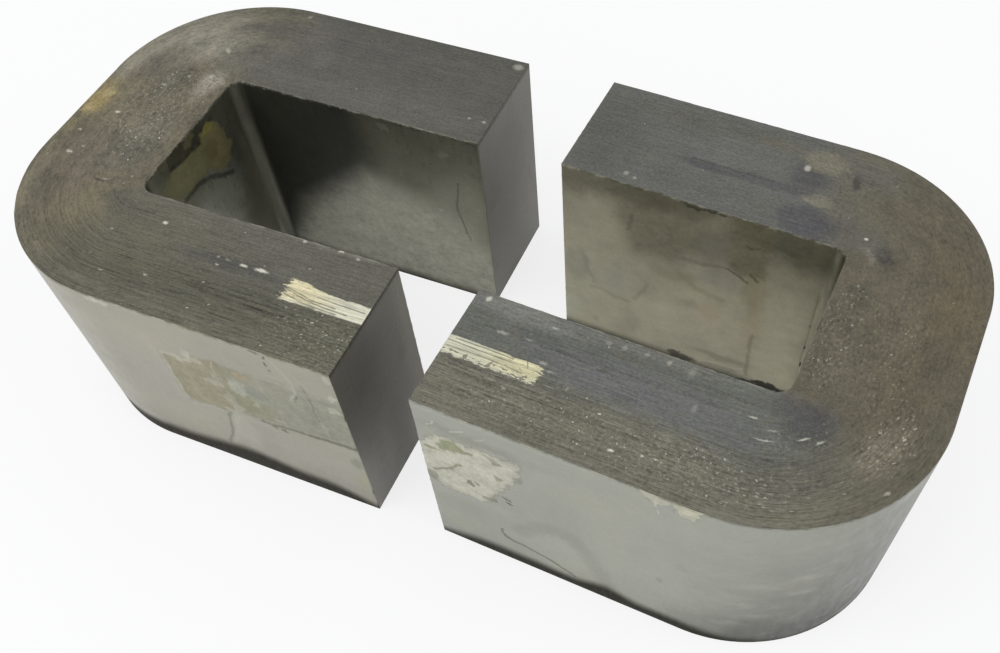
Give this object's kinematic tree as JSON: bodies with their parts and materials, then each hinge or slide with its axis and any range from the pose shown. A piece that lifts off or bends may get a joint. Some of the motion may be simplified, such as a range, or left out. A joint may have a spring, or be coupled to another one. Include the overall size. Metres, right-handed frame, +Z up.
{
  "type": "cut c-core",
  "caption": "U-shaped halves of a ribbon-wound cut magnetic core, standing apart on their ribbon edges, with a window for the coils of a choke or transformer.",
  "frame": {"origin": "under the middle of the box that holds both halves, on the surface they stand on", "axes": "+X along the legs from the left half to the right half, +Y to the back leg, +Z up along the ribbon's width"},
  "size_m": [0.1336, 0.0648, 0.035],
  "materials": {
    "bonded_ribbon": "dull streaked ribbon edges, shinier resin-coated outer turn, ground cut faces"
  },
  "bodies": {
    "root": {"left_core_half": "bonded_ribbon", "right_core_half": "bonded_ribbon"}
  },
  "joints": []
}
